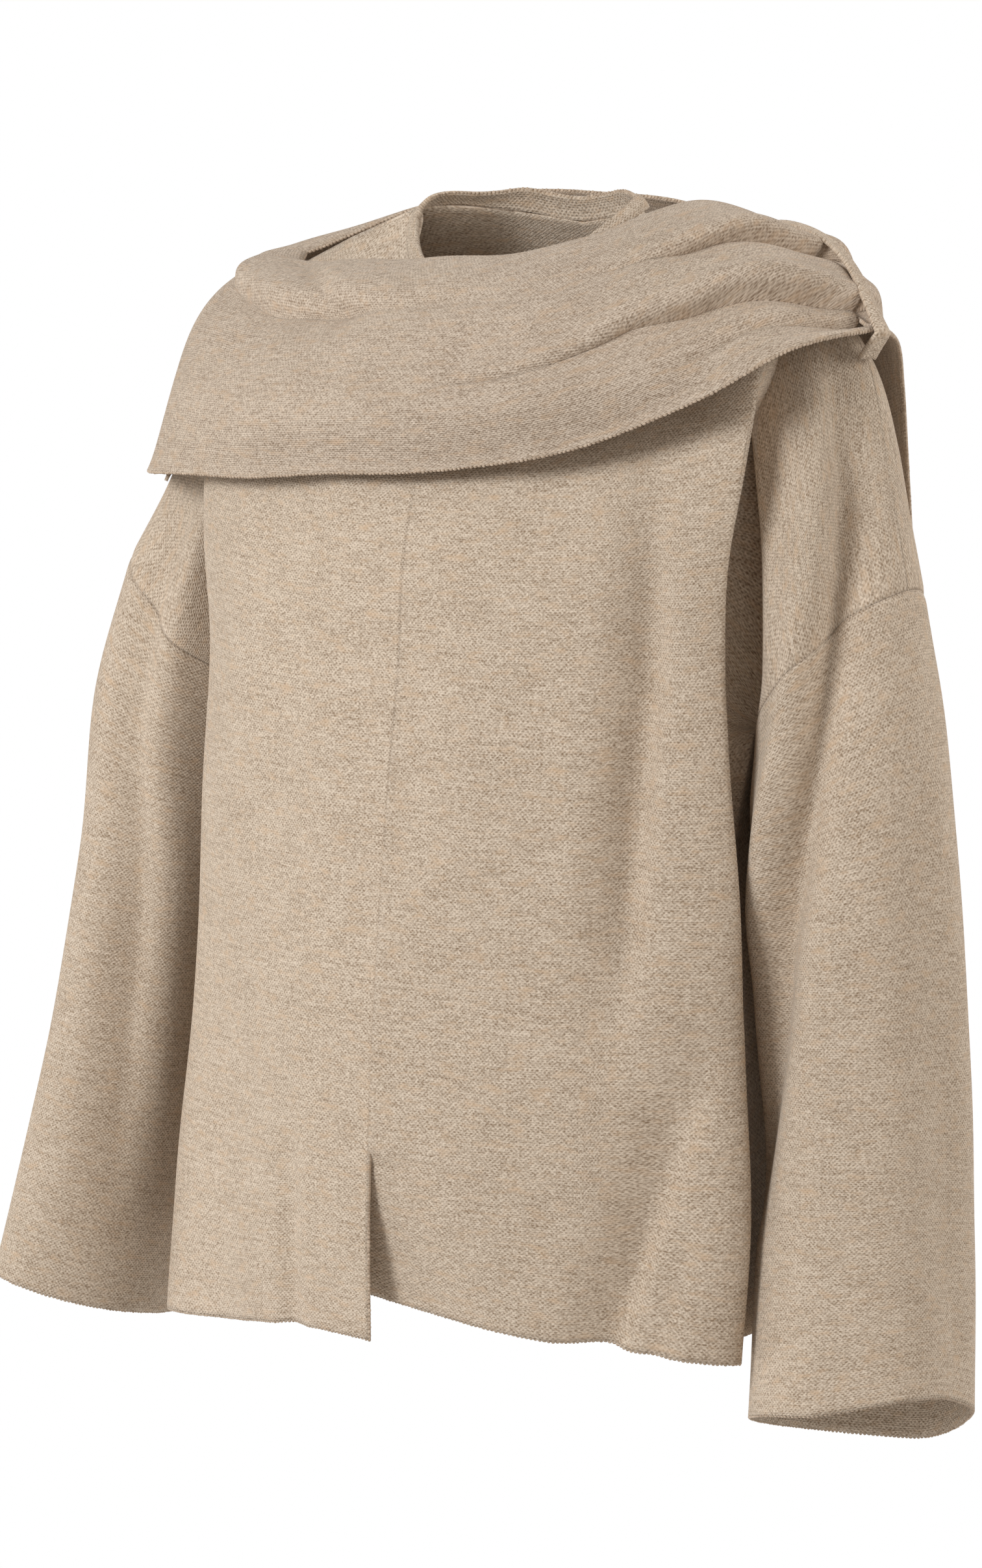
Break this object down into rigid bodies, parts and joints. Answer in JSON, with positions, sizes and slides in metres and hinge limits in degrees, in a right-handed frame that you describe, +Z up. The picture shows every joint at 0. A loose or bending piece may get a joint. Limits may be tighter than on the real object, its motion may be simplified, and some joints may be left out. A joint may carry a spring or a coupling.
{
  "type": "knit blouse",
  "caption": "Loose knitted pullover with wide drop-shoulder sleeves, a seam and slit down the front, and a broad scarf draped round the shoulders and held by straps.",
  "frame": {"origin": "middle of the neck opening at the height of the shoulder seams' neck ends, where the wearer's shoulders carry the garment", "axes": "+Z up along the wearer, the garment faces -Y and the wearer's left is +X"},
  "size_m": [0.628, 0.3147, 0.7065],
  "materials": {
    "body_knit": "matt melange beige double knit",
    "scarf_knit": "matt melange beige ribbed knit"
  },
  "bodies": {
    "root": {"front_left": "body_knit", "front_right": "body_knit", "back": "body_knit", "sleeve_left": "body_knit", "sleeve_right": "body_knit", "neckband": "body_knit", "scarf_front": "scarf_knit", "scarf_back": "scarf_knit", "scarf_tail": "scarf_knit", "strap_left": "body_knit", "strap_right": "body_knit"}
  },
  "joints": []
}
